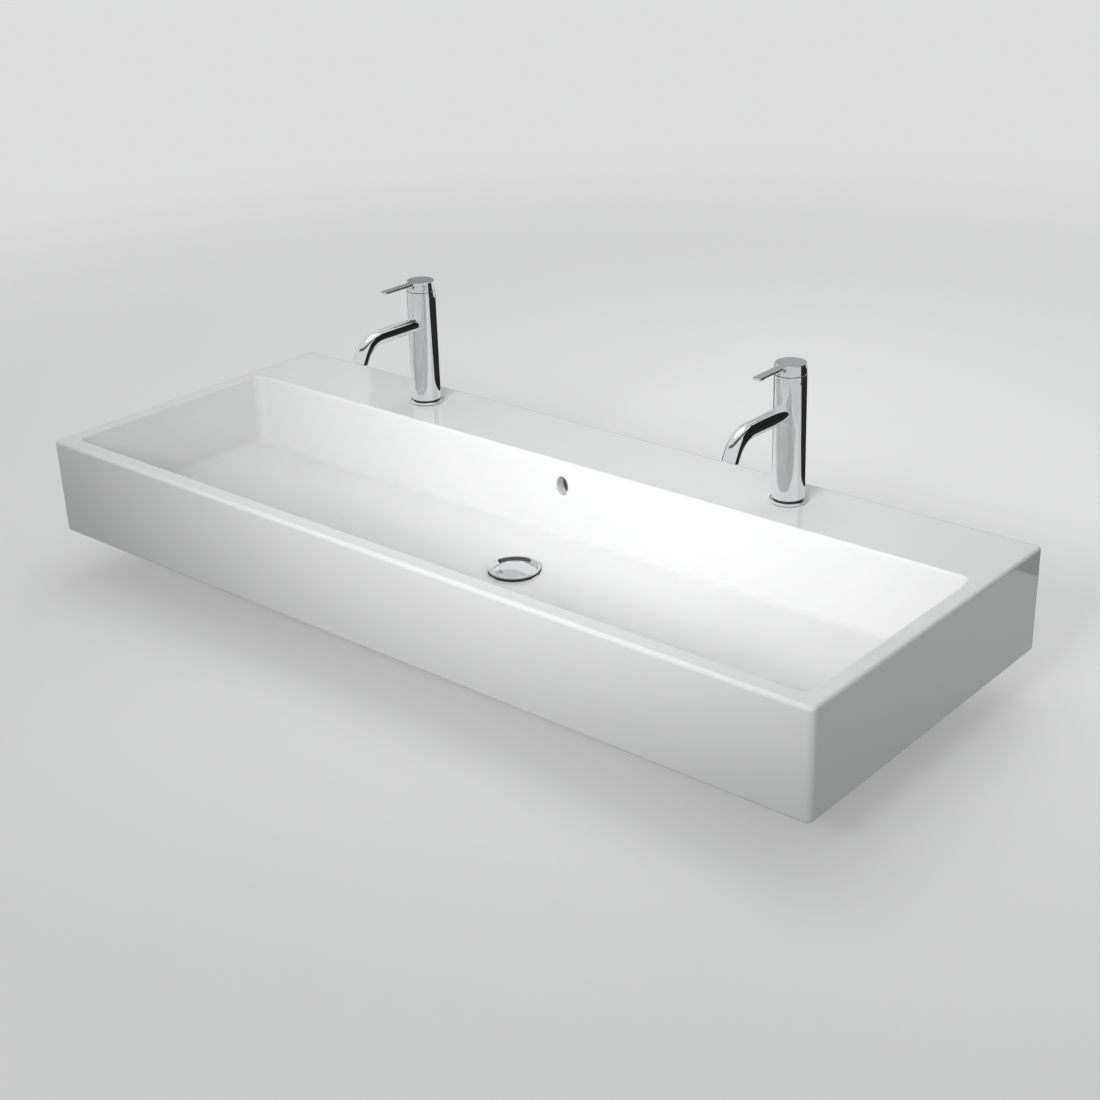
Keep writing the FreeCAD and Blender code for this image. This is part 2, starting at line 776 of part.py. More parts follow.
def carrier():
    """Turning carrier: a flanged disc with two round-topped cheeks for the pivot pin."""
    shaft_radius = guide_radius - running_fit
    flange_top = chamber_top - moving_gap
    flange_foot = flange_top - carrier_flange_height
    body = turned([
        (0, flange_foot),
        (shaft_radius + carrier_flange, flange_foot),
        (shaft_radius + carrier_flange, flange_top),
        (shaft_radius, flange_top),
        (shaft_radius, carrier_top),
        (0, carrier_top),
    ])
    inner = stem_width / 2 + moving_gap
    outer = inner + cheek_thickness
    cheeks = block(-outer, outer, -cheek_round, cheek_round, carrier_top, pivot_height)
    body = body.fuse(cheeks).fuse(cross_bar(cheek_round, outer))
    gap = block(-inner, inner, -cheek_round - overrun, cheek_round + overrun, carrier_top, handle_top)
    body = body.cut(gap)
    swing = (pivot_height - flange_foot) * math.tan(lift) + tail_depth / 2 / math.cos(lift) + moving_gap
    slot_back = tail_depth / 2 + moving_gap
    body = body.cut(block(-inner, inner, -swing, slot_back, flange_foot - overrun, carrier_top + overrun))
    return body.cut(cross_bar(pin_radius, outer + overrun)).removeSplitter()


def pivot_pin():
    """Cross pin in the carrier's cheeks, on which the stem rocks."""
    return cross_bar(pin_radius, stem_width / 2 + moving_gap + cheek_thickness)


def stem():
    """Rocking stem: its head is held in the handle, its tail pushes the moving disc."""
    half_x = stem_width / 2
    half_y = stem_depth / 2
    shoulder = pivot_height - stem_shoulder
    head = block(-half_x, half_x, -half_y, half_y, shoulder, plate_foot)
    tail = block(-tail_width / 2, tail_width / 2, -tail_depth / 2, tail_depth / 2, tail_foot, shoulder)
    return head.fuse(tail).cut(cross_bar(pin_radius + running_fit, half_x + overrun))


def set_screw_way():
    """Line of the set screw: height above the deck and the face of the stem that it presses."""
    return (plate_foot + pivot_height) / 2, -stem_depth / 2


def handle():
    """Cap and flat lever in one casting, with a finger notch below the lever's root."""
    cap = turned([
        (0, skirt_foot),
        (handle_radius, skirt_foot),
        (handle_radius, handle_top - handle_edge_chamfer),
        (handle_radius - handle_edge_chamfer, handle_top),
        (0, handle_top),
    ])
    cap = cap.cut(post(handle_radius - handle_wall, skirt_foot - overrun, plate_foot))
    block_half = notch_block_width / 2
    block_back = notch_block_depth - handle_radius
    front = block(-block_half, block_half, -handle_radius, block_back, skirt_foot, handle_top)
    cap = cap.fuse(front.common(post(handle_radius, skirt_foot, plate_foot)))
    half = stem_width / 2
    boss_foot = plate_foot - boss_drop
    boss = block(-half, half, block_back, boss_reach, boss_foot, plate_foot)
    cap = cap.fuse(boss)
    socket_half = stem_depth / 2
    cap = cap.cut(block(-half, half, -socket_half, socket_half, boss_foot - overrun, plate_foot))
    notch_foot = skirt_foot + notch_land
    notch = Part.makeCone(0, notch_radius, lever_foot - notch_foot, vec(0, -handle_radius, notch_foot))
    cap = cap.cut(notch)

    lever_half = lever_width / 2
    lever = block(-lever_half, lever_half, -lever_length, block_back, lever_foot, handle_top)
    tip = [e for e in upright_edges(lever) if e.CenterOfMass.y < -lever_length + overrun]
    lever = lever.makeFillet(lever_tip_radius, tip)
    under = [
        edge for edge in level_edges(lever, lever_foot - overrun, lever_foot + overrun)
        if edge.BoundBox.YMax < -lever_length + overrun and edge.BoundBox.YLength < seat_fit
    ]
    lever = lever.makeChamfer(lever_tip_chamfer, under)
    cap = cap.fuse(lever)
    screw_z, screw_y = set_screw_way()
    way = Part.makeCylinder(set_screw_radius, handle_radius, vec(0, screw_y, screw_z), vec(0, -1, 0))
    return cap.cut(way).removeSplitter()


def set_screw():
    """Grub screw that holds the handle on the stem."""
    screw_z, screw_y = set_screw_way()
    return Part.makeCylinder(set_screw_radius, set_screw_length, vec(0, screw_y, screw_z), vec(0, -1, 0))


def base_ring():
    """Flat ring between the column and the deck."""
    body = ring(base_ring_radius, neck_radius + seat_fit, base_gasket_height, ring_top)
    rim = [
        edge for edge in level_edges(body, ring_top - overrun / 2, ring_top + overrun)
        if edge.BoundBox.XLength > 2 * base_gasket_radius
    ]
    return body.makeFillet(base_ring_edge_radius, rim)


def horseshoe(top, height):
    """Open clamp below the deck: it takes the stud and leaves the supply ports free."""
    half = clamp_gap_width / 2
    foot = top - height
    plate = post(clamp_radius, foot, top)
    gap = block(-half, half, -clamp_gap_setback, clamp_radius, foot - overrun, top + overrun)
    return plate.cut(gap).cut(stud_hole(foot, top))


def stud_hole(foot, top):
    """The hole that the fixing stud needs through a piece."""
    return post(stud_radius + seat_fit, foot - overrun, top + overrun, 0, -stud_setback)


def mixer_pieces():
    """All pieces of one mixer, from the tap's axis and the deck."""
    pad_foot = -deck_wall - clamp_pad_height
    plate_under = pad_foot - clamp_plate_height
    stud_top = stud_grip - neck_drop
    nut_end = plate_under - clamp_nut_height
    nut = hexagon(clamp_nut_width, nut_end, plate_under, 0, -stud_setback)
    return {
        "base_gasket": ring(base_gasket_radius, tap_hole_radius, 0, base_gasket_height),
        "base_ring": base_ring(),
        "column": column(),
        "collar": collar(),
        "spout": spout(),
        "aerator_housing": aerator_housing(),
        "aerator_insert": aerator_insert(),
        "cartridge_base": cartridge_base(),
        "cartridge_housing": cartridge_housing(),
        "fixed_disc": fixed_disc(),
        "moving_disc": moving_disc(),
        "carrier": carrier(),
        "pivot_pin": pivot_pin(),
        "stem": stem(),
        "cartridge_nut": ring(nut_radius, nut_bore_radius, nut_foot, nut_top),
        "handle": handle(),
        "set_screw": set_screw(),
        "fixing_stud": post(stud_radius, stud_top - stud_length, stud_top, 0, -stud_setback),
        "clamp_pad": horseshoe(-deck_wall, clamp_pad_height),
        "clamp_plate": horseshoe(pad_foot, clamp_plate_height),
        "clamp_nut": nut.cut(stud_hole(nut_end, plate_under)),
    }


def save(name, shape, place):
    """Write one piece to its own file."""
    placed = shape.copy()
    placed.translate(place)
    placed.exportStep(os.path.join("parts", name + ".step"))


os.makedirs("parts", exist_ok=True)
save("basin", basin(), ORIGIN)
for name, shape in waste_pieces().items():
    save(name, shape, vec(0, drain_y, 0))
mixer = mixer_pieces()
for side, x in (("left", -tap_spacing / 2), ("right", tap_spacing / 2)):
    for name, shape in mixer.items():
        save(side + "_" + name, shape, vec(x, -tap_from_wall, rim_z))
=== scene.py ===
import json
import math

import bmesh
import bpy
from mathutils import Matrix, Vector


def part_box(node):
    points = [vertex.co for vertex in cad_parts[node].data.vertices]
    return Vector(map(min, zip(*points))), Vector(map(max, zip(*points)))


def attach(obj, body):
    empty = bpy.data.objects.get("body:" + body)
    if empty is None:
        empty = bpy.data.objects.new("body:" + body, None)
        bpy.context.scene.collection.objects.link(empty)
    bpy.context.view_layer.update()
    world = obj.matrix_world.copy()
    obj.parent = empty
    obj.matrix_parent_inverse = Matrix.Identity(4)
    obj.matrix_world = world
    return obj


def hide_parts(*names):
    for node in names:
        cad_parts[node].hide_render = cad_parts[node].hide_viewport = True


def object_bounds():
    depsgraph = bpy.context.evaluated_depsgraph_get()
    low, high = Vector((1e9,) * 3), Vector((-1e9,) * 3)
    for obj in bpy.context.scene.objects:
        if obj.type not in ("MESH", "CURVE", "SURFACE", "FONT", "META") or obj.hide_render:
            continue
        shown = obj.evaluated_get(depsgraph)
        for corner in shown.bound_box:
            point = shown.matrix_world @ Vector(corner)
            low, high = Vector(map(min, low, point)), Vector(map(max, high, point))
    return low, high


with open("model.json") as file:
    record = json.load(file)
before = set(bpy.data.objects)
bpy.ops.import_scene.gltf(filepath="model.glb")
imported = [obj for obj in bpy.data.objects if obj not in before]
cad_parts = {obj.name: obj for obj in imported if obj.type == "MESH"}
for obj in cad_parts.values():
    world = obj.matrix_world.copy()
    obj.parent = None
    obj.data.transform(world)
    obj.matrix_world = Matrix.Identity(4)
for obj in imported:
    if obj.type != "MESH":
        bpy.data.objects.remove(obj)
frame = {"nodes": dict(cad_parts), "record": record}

# White glazed vanity basin with two chrome lever mixers and a push-open waste.
# Metres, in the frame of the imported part: X along the wall, Y towards the wall, Z up.

cad_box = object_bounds()
record = frame["record"]
scene = bpy.context.scene
body_of = {node: body for body, nodes in record["behaviour"]["bodies"].items() for node in nodes}
slot_of = {row["node"]: row["material_slot"] for row in record["subparts"]}

# Places on the object
basin_width = 1.2
basin_depth = 0.47
rim_z = 0.062
basin_foot_z = -0.068
basin_foot_width = 0.0285
tap_spacing = 0.6
tap_y = -0.06
drain_y = -0.222

# Spout, from the tap's axis and the deck
spout_height = 0.115
spout_radius = 0.0098
spout_socket = 0.008
spout_reach = 0.085
spout_bend_radius = 0.036
spout_bend_angle = 62.0
spout_tail = 0.0095
spout_mouth_radius = 0.0086
spout_mouth_seam = 0.00005
aerator_radius = 0.0073
aerator_lip_radius = 0.0064
aerator_flange_radius = 0.0094
aerator_flange_height = 0.0012
aerator_depth = 0.008
aerator_edge = 0.00025
aerator_cell = 0.0021
aerator_cell_wall = 0.00022
aerator_cell_depth = 0.0032
aerator_plate = 0.0012

# Threads
waste_pitch = 0.00231
waste_thread_depth = 0.0011
waste_crest_skin = 0.00005
waste_shank_radius = 0.0216
waste_outlet_radius = 0.02095
waste_outlet_top_z = -0.1095
waste_end_z = -0.1335
waste_shank_z = -0.107
waste_shank_thread = 0.0162
stud_radius = 0.004
stud_pitch = 0.00125
stud_thread_depth = 0.0006

# Groove between a column and its base ring, where black is painted on as shade
groove_foot_z = 0.0655
groove_top_z = 0.06755
groove_inner_radius = 0.0172
groove_outer_radius = 0.0187

# Seal of the waste's cover, and its black hem, a painted shadow for the gap under the cover's lip
seal_bore_radius = 0.0308
shadow_hem_height = 0.0022
shadow_hem_skin = 0.00005

# Nuts and the set screw
waste_nut_width = 0.056
clamp_nut_width = 0.013
nut_chamfer_angle = 30.0
screw_key_width = 0.0015
screw_key_depth = 0.0014

# Softened edges, as casting, polishing or moulding leaves them
basin_edge = 0.0009
mixer_edges = {
    "column": 0.0003, "collar": 0.00008, "base_ring": 0.0002, "handle": 0.0004,
    "clamp_pad": 0.0004, "clamp_plate": 0.0004}
waste_body_edge = 0.0002
waste_edges = {"waste_cover": 0.0003, "waste_gasket": 0.0005, "slip_washer": 0.0003}

# Where the glaze ends, from the foot and from the wall face
glaze_end_foot = 0.0014
glaze_end_wall = 0.0012
glaze_end_fade = 0.0003
glaze_end_wander = 0.0012

# Fineness of round shapes
ring_steps = 96
small_ring_steps = 48
seal_steps = 144
thread_steps = 48
spout_sides = 72
spout_rings = 140
aerator_plate_sides = 64

# Set: the floor's size and fade, the light that it throws back from left to right, the hood's height, the fill
floor_reach = 3.0
floor_glow = 0.30
fade_start = 1.0
fade_end = 2.8
bounce_from_x = -0.9
bounce_to_x = 0.3
bounce_left = 0.01
bounce_right = 0.22
hood_z = 2.1
fill_strength = 0.40

# Photograph's camera
camera_place = Vector((1.4222, -1.7833, 0.9262))
camera_aim = Vector((0.077, -0.2352, 0.1301))
camera_roll = -1.7
camera_lens = 60.435
camera_film_width = 36.0
camera_shift_y = -0.0909


# Nodes

def add(tree, kind, inputs=None, **settings):
    """A node with its settings, and with its inputs set or linked."""
    made = tree.nodes.new(kind)
    for key, value in settings.items():
        setattr(made, key, value)
    for key, value in (inputs or {}).items():
        if isinstance(value, bpy.types.NodeSocket):
            tree.links.new(value, made.inputs[key])
        else:
            made.inputs[key].default_value = value
    return made


def sum_of(tree, operation, *values):
    """The result of one sum on numbers or sockets."""
    return add(tree, "ShaderNodeMath", dict(enumerate(values)), operation=operation).outputs[0]


def group(kind, name, given, results):
    """An empty node group with named sockets."""
    tree = bpy.data.node_groups.new(name, kind)
    for label, socket in given:
        tree.interface.new_socket(label, in_out="INPUT", socket_type=socket)
    for label, socket in results:
        tree.interface.new_socket(label, in_out="OUTPUT", socket_type=socket)
    return tree, tree.nodes.new("NodeGroupInput").outputs, tree.nodes.new("NodeGroupOutput").inputs


FLOAT, VECTOR, COLOUR = "NodeSocketFloat", "NodeSocketVector", "NodeSocketColor"
GEOMETRY, MATERIAL = "NodeSocketGeometry", "NodeSocketMaterial"


# Effects that several finishes share

def make_mottle():
    """Two close shades in soft clouds."""
    given = [("Place", VECTOR), ("Scale", FLOAT), ("First", COLOUR), ("Second", COLOUR)]
    tree, start, end = group("ShaderNodeTree", "mottle", given, [("Colour", COLOUR)])
    cloud = add(tree, "ShaderNodeTexNoise", {"Vector": start["Place"], "Scale": start["Scale"], "Detail": 5.0})
    shade = add(tree, "ShaderNodeMix", {0: cloud.outputs[0], 6: start["First"], 7: start["Second"]}, data_type="RGBA")
    tree.links.new(shade.outputs[2], end["Colour"])
    return tree


def make_haze():
    """Roughness that drifts between two values, as wiping leaves it."""
    given = [("Place", VECTOR), ("Scale", FLOAT), ("Least", FLOAT), ("Most", FLOAT)]
    tree, start, end = group("ShaderNodeTree", "haze", given, [("Roughness", FLOAT)])
    cloud = add(tree, "ShaderNodeTexNoise", {
        "Vector": start["Place"], "Scale": start["Scale"], "Detail": 6.0, "Distortion": 0.6})
    spread = add(tree, "ShaderNodeMapRange", {
        "Value": cloud.outputs[0], "From Min": 0.3, "From Max": 0.7,
        "To Min": start["Least"], "To Max": start["Most"]})
    tree.links.new(spread.outputs[0], end["Roughness"])
    return tree


def make_ripple():
    """Height of a fine uneven surface."""
    given = [("Place", VECTOR), ("Scale", FLOAT), ("Height", FLOAT)]
    tree, start, end = group("ShaderNodeTree", "ripple", given, [("Height", FLOAT)])
    cloud = add(tree, "ShaderNodeTexNoise", {"Vector": start["Place"], "Scale": start["Scale"], "Detail": 3.0})
    tree.links.new(sum_of(tree, "MULTIPLY", cloud.outputs[0], start["Height"]), end["Height"])
    return tree


mottle_group = make_mottle()
haze_group = make_haze()
ripple_group = make_ripple()


def effect(tree, shared, **values):
    """One shared effect placed in a finish with its own values."""
    return add(tree, "ShaderNodeGroup", values, node_tree=shared).outputs[0]


def blank_finish(name):
    """A new finish: its material, tree, shader and the place on the piece."""
    made = bpy.data.materials.new(name)
    made.use_nodes = True
    tree = made.node_tree
    return made, tree, tree.nodes["Principled BSDF"], add(tree, "ShaderNodeTexCoord").outputs["Object"]


def bump(tree, shader, height):
    """Feed a height in metres to the shader's normal."""
    raised = add(tree, "ShaderNodeBump", {"Height": height, "Distance": 1.0})
    tree.links.new(raised.outputs[0], shader.inputs["Normal"])


def worked_finish(name, first, second, clouds, polish, grain, metallic=0.0, stretch=(1, 1, 1)):
    """A metal, plastic or rubber, drawn out along the tool's path.

    It has two shades, the scale of its clouds, the range of its roughness, and the scale and height of its grain.
    """
    made, tree, shader, place = blank_finish(name)
    drawn = add(tree, "ShaderNodeMapping", {"Vector": place, "Scale": stretch}).outputs[0]
    colour = effect(tree, mottle_group, Place=drawn, Scale=clouds, First=first + (1,), Second=second + (1,))
    tree.links.new(colour, shader.inputs["Base Color"])
    least, most = polish
    rough = effect(tree, haze_group, Place=drawn, Scale=clouds, Least=least, Most=most)
    tree.links.new(rough, shader.inputs["Roughness"])
    grain_scale, grain_height = grain
    bump(tree, shader, effect(tree, ripple_group, Place=drawn, Scale=grain_scale, Height=grain_height))
    shader.inputs["Metallic"].default_value = metallic
    return made


def glaze_finish():
    """White glaze, left off the foot and the wall face, where the fired clay shows."""
    made, tree, shader, place = blank_finish("white_glaze")
    glaze = effect(
        tree, mottle_group, Place=place, Scale=4.0, First=(0.83, 0.83, 0.828, 1), Second=(0.80, 0.801, 0.80, 1))
    clay = effect(
        tree, mottle_group, Place=place, Scale=700.0, First=(0.80, 0.78, 0.74, 1), Second=(0.66, 0.64, 0.60, 1))
    edge = add(tree, "ShaderNodeTexNoise", {"Vector": place, "Scale": 60.0, "Detail": 3.0}).outputs[0]
    wander = sum_of(tree, "MULTIPLY", sum_of(tree, "SUBTRACT", edge, 0.5), glaze_end_wander)
    axes = add(tree, "ShaderNodeSeparateXYZ", {0: place}).outputs
    foot = add(tree, "ShaderNodeMapRange", {
        "Value": sum_of(tree, "ADD", axes[2], wander),
        "From Min": basin_foot_z + glaze_end_foot, "From Max": basin_foot_z + glaze_end_foot - glaze_end_fade})
    wall = add(tree, "ShaderNodeMapRange", {
        "Value": sum_of(tree, "ADD", axes[1], wander),
        "From Min": -glaze_end_wall, "From Max": glaze_end_fade - glaze_end_wall})
    from_end = sum_of(tree, "SUBTRACT", basin_width / 2, sum_of(tree, "ABSOLUTE", axes[0]))
    from_front = sum_of(tree, "ADD", axes[1], basin_depth)
    from_back = sum_of(tree, "MULTIPLY", axes[1], -1.0)
    from_edge = sum_of(tree, "MINIMUM", sum_of(tree, "MINIMUM", from_end, from_front), from_back)
    outer = sum_of(tree, "LESS_THAN", from_edge, basin_foot_width)
    bare = sum_of(tree, "MAXIMUM", sum_of(tree, "MULTIPLY", foot.outputs[0], outer), wall.outputs[0])
    colour = add(tree, "ShaderNodeMix", {0: bare, 6: glaze, 7: clay}, data_type="RGBA").outputs[2]
    tree.links.new(colour, shader.inputs["Base Color"])
    gloss = effect(tree, haze_group, Place=place, Scale=9.0, Least=0.05, Most=0.085)
    rough = add(tree, "ShaderNodeMix", {0: bare, 2: gloss, 3: 0.75}, data_type="FLOAT").outputs[0]
    tree.links.new(rough, shader.inputs["Roughness"])
    flow = effect(tree, ripple_group, Place=place, Scale=22.0, Height=0.00004)
    grit = effect(tree, ripple_group, Place=place, Scale=1500.0, Height=0.00012)
    relief = add(tree, "ShaderNodeMix", {0: bare, 2: flow, 3: grit}, data_type="FLOAT").outputs[0]
    bump(tree, shader, relief)
    shader.inputs["IOR"].default_value = 1.52
    return made


finish = {
    "glaze": glaze_finish(),
    "chrome": worked_finish(
        "polished_chrome", (0.88, 0.885, 0.89), (0.85, 0.855, 0.86), 30.0, (0.03, 0.07), (90.0, 0.000004), 1.0),
    # The waste cover's chrome is darker than the taps' chrome: painted shade for its place deep in the bowl.
    "shaded_cover_chrome": worked_finish(
        "shaded_cover_chrome", (0.73, 0.735, 0.74), (0.70, 0.705, 0.71), 30.0, (0.03, 0.07), (90.0, 0.000004), 1.0),
    "brass": worked_finish(
        "machined_brass", (0.78, 0.62, 0.33), (0.66, 0.50, 0.25), 120.0, (0.16, 0.34), (900.0, 0.00001), 1.0,
        (1, 1, 30)),
    "steel": worked_finish(
        "plain_steel", (0.62, 0.63, 0.64), (0.50, 0.51, 0.52), 140.0, (0.18, 0.36), (1100.0, 0.00001), 1.0,
        (1, 1, 20)),
    "rubber": worked_finish(
        "black_rubber", (0.022, 0.022, 0.024), (0.045, 0.045, 0.047), 160.0, (0.55, 0.8), (2500.0, 0.00004)),
    "white_plastic": worked_finish(
        "white_plastic", (0.80, 0.80, 0.78), (0.74, 0.74, 0.72), 90.0, (0.32, 0.48), (2200.0, 0.00002)),
    "grey_plastic": worked_finish(
        "grey_plastic", (0.44, 0.45, 0.46), (0.36, 0.37, 0.38), 110.0, (0.3, 0.45), (2200.0, 0.00002)),
    "disc_ceramic": worked_finish(
        "lapped_disc", (0.82, 0.80, 0.75), (0.77, 0.75, 0.70), 120.0, (0.12, 0.22), (1500.0, 0.000006)),
}


# Meshes

def piece_of(name, mesh):
    """A new object at the origin that carries a mesh."""
    piece = bpy.data.objects.new(name, mesh)
    scene.collection.objects.link(piece)
    return piece


def settle(piece):
    """Turn a piece and its modifiers into one plain mesh."""
    bpy.context.view_layer.update()
    graph = bpy.context.evaluated_depsgraph_get()
    mesh = bpy.data.meshes.new_from_object(piece.evaluated_get(graph))
    piece.modifiers.clear()
    piece.data = mesh


def even_shade(piece, sharp_angle=40.0):
    """Smooth shading that leaves broad faces flat and real corners sharp."""
    piece.data.shade_smooth()
    piece.data.set_sharp_from_angle(angle=math.radians(sharp_angle))
    modifier = piece.modifiers.new("even_shade", "WEIGHTED_NORMAL")
    modifier.keep_sharp = True
    settle(piece)


def round_edges(piece, width, segments=2, sharp_angle=40.0):
    """Take the sharpness off the corners, as polishing or casting does."""
    modifier = piece.modifiers.new("round_edges", "BEVEL")
    modifier.limit_method = "ANGLE"
    modifier.angle_limit = math.radians(sharp_angle)
    modifier.width = width
    modifier.segments = segments
    settle(piece)
    even_shade(piece)


def joined_copy(node, name):
    """A copy of a CAD node with its triangles joined into whole faces."""
    shape = bmesh.new()
    shape.from_mesh(frame["nodes"][node].data)
    bmesh.ops.remove_doubles(shape, verts=shape.verts, dist=1e-6)
    bmesh.ops.dissolve_limit(shape, angle_limit=math.radians(0.3), verts=shape.verts, edges=shape.edges)
    mesh = bpy.data.meshes.new(name)
    shape.to_mesh(mesh)
    shape.free()
    return piece_of(name, mesh)


def stacked(name, rings, place, steps=ring_steps, bored=False):
    """A closed shell through rings about Z, each with a height and a radius, or rules that give them for a turn.

    A bored shell joins its last ring to its first. Others have a cap at either end.
    """
    shape = bmesh.new()
    loops = []
    for height, radius in rings:
        loop = []
        for step in range(steps):
            turn = 2 * math.pi * step / steps
            reach = radius(turn) if callable(radius) else radius
            level = height(turn) if callable(height) else height
            loop.append(shape.verts.new((reach * math.cos(turn), reach * math.sin(turn), level)))
        loops.append(loop)
    if not bored:
        shape.faces.new(loops[0][::-1])
        shape.faces.new(loops[-1])
    for low, high in zip(loops, loops[1:] + loops[:bored]):
        for step in range(steps):
            after = (step + 1) % steps
            shape.faces.new((low[step], low[after], high[after], high[step]))
    bmesh.ops.remove_doubles(shape, verts=shape.verts, dist=1e-7)
    bmesh.ops.recalc_face_normals(shape, faces=shape.faces)
    mesh = bpy.data.meshes.new(name)
    shape.to_mesh(mesh)
    shape.free()
    mesh.transform(place)
    return piece_of(name, mesh)


def hexagon(width, limit=None):
    """Radius of a hexagon across a turn, with its corners cut at limit."""
    def radius(turn):
        third = math.pi / 3
        reach = width / 2 / math.cos(turn % third - third / 2)
        return min(reach, limit) if limit else reach
    return radius


def fit(piece, *nodes):
    """Put a piece in the place of the CAD nodes that it stands for."""
    if not piece.data.materials:
        piece.data.materials.append(finish[slot_of[nodes[0]]])
    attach(piece, body_of[nodes[0]])
    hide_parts(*nodes)


def fit_both(piece, node):
    """Fit a piece of the left mixer, and its like on the right one."""
    twin = piece_of(piece.name.replace("left_", "right_"), piece.data.copy())
    twin.data.transform(Matrix.Translation((tap_spacing, 0, 0)))
    fit(piece, "left_" + node)
    fit(twin, "right_" + node)


# What repeats or follows a rule

def grow(tree, name, values, mesh=None):
    """The plain piece that a tree makes from its named inputs."""
    piece = piece_of(name, mesh or bpy.data.meshes.new(name))
    modifier = piece.modifiers.new(tree.name, "NODES")
    modifier.node_group = tree
    for socket in tree.interface.items_tree:
        if socket.in_out == "INPUT" and socket.name in values:
            modifier[socket.identifier] = values[socket.name]
    settle(piece)
    return piece


def close_tree(tree, geometry, material, end):
    """Every tree ends in real faces with their finish."""
    real = add(tree, "GeometryNodeRealizeInstances", {0: geometry})
    dressed = add(tree, "GeometryNodeSetMaterial", {"Geometry": real.outputs[0], "Material": material})
    tree.links.new(dressed.outputs[0], end["Geometry"])


def make_thread():
    """A screw thread wound round the core that it is given."""
    given = [("Geometry", GEOMETRY), ("Centre", VECTOR), ("Length", FLOAT), ("Crest", FLOAT),
             ("Depth", FLOAT), ("Pitch", FLOAT), ("Finish", MATERIAL)]
    tree, start, end = group("GeometryNodeTree", "thread", given, [("Geometry", GEOMETRY)])
    root = sum_of(tree, "SUBTRACT", start["Crest"], start["Depth"])
    helix = add(tree, "GeometryNodeCurveSpiral", {
        "Resolution": thread_steps, "Rotations": sum_of(tree, "DIVIDE", start["Length"], start["Pitch"]),
        "Start Radius": root, "End Radius": root, "Height": start["Length"]})
    level = add(tree, "GeometryNodeSetCurveNormal", {"Curve": helix.outputs[0]}, mode="Z_UP")
    half = sum_of(tree, "MULTIPLY", start["Pitch"], 0.46)
    breadth = sum_of(tree, "MULTIPLY", start["Depth"], 2.0)
    ridge = add(tree, "GeometryNodeCurvePrimitiveQuadrilateral", {
        "Width": breadth, "Bottom Height": half, "Top Height": half}, mode="KITE")
    wound = add(tree, "GeometryNodeCurveToMesh", {0: level.outputs[0], 1: ridge.outputs[0], "Fill Caps": True})
    placed = add(tree, "GeometryNodeTransform", {"Geometry": wound.outputs[0], "Translation": start["Centre"]})
    joined = add(tree, "GeometryNodeJoinGeometry")
    tree.links.new(start["Geometry"], joined.inputs[0])
    tree.links.new(placed.outputs[0], joined.inputs[0])
    close_tree(tree, joined.outputs[0], start["Finish"], end)
    return tree


def make_spout():
    """The wall and the lining of a tube that runs straight out of the column, bends down and ends straight."""
    given = [("Socket", FLOAT), ("Reach", FLOAT), ("Bend Radius", FLOAT), ("Bend Angle", FLOAT),
             ("Tail", FLOAT), ("Tube Radius", FLOAT), ("Mouth Radius", FLOAT), ("Finish", MATERIAL)]
    tree, start, end = group("GeometryNodeTree", "spout", given, [("Geometry", GEOMETRY)])
    straight = sum_of(tree, "SUBTRACT", start["Reach"], start["Socket"])
    bend = sum_of(tree, "MULTIPLY", start["Bend Radius"], start["Bend Angle"])
    whole = sum_of(tree, "ADD", sum_of(tree, "ADD", straight, bend), start["Tail"])
    line = add(tree, "GeometryNodeCurvePrimitiveLine")
    points = add(tree, "GeometryNodeResampleCurve", {"Curve": line.outputs[0], "Count": spout_rings}, mode="COUNT")
    share = add(tree, "GeometryNodeSplineParameter").outputs["Factor"]
    way = sum_of(tree, "MULTIPLY", share, whole)
    out = sum_of(tree, "MINIMUM", way, straight)
    past = sum_of(tree, "SUBTRACT", way, straight)
    in_bend = sum_of(tree, "MINIMUM", sum_of(tree, "MAXIMUM", past, 0.0), bend)
    turned = sum_of(tree, "DIVIDE", in_bend, start["Bend Radius"])
    rest = sum_of(tree, "MAXIMUM", sum_of(tree, "SUBTRACT", past, bend), 0.0)
    across = sum_of(tree, "MULTIPLY", start["Bend Radius"], sum_of(tree, "SINE", turned))
    drop = sum_of(tree, "SUBTRACT", 1.0, sum_of(tree, "COSINE", turned))
    fall = sum_of(tree, "MULTIPLY", start["Bend Radius"], drop)
    tail_out = sum_of(tree, "MULTIPLY", rest, sum_of(tree, "COSINE", start["Bend Angle"]))
    tail_fall = sum_of(tree, "MULTIPLY", rest, sum_of(tree, "SINE", start["Bend Angle"]))
    forward = sum_of(tree, "ADD", sum_of(tree, "ADD", out, start["Socket"]), sum_of(tree, "ADD", across, tail_out))
    down = sum_of(tree, "ADD", fall, tail_fall)
    spot = add(tree, "ShaderNodeCombineXYZ", {
        "Y": sum_of(tree, "MULTIPLY", forward, -1.0), "Z": sum_of(tree, "MULTIPLY", down, -1.0)})
    path = add(tree, "GeometryNodeSetPosition", {"Geometry": points.outputs[0], "Position": spot.outputs[0]})
    tube = add(tree, "GeometryNodeJoinGeometry")
    for label in ("Tube Radius", "Mouth Radius"):
        circle = add(tree, "GeometryNodeCurvePrimitiveCircle", {"Resolution": spout_sides, "Radius": start[label]})
        layer = add(tree, "GeometryNodeCurveToMesh", {0: path.outputs[0], 1: circle.outputs[0]})
        tree.links.new(layer.outputs[0], tube.inputs[0])
    close_tree(tree, tube.outputs[0], start["Finish"], end)
    return tree


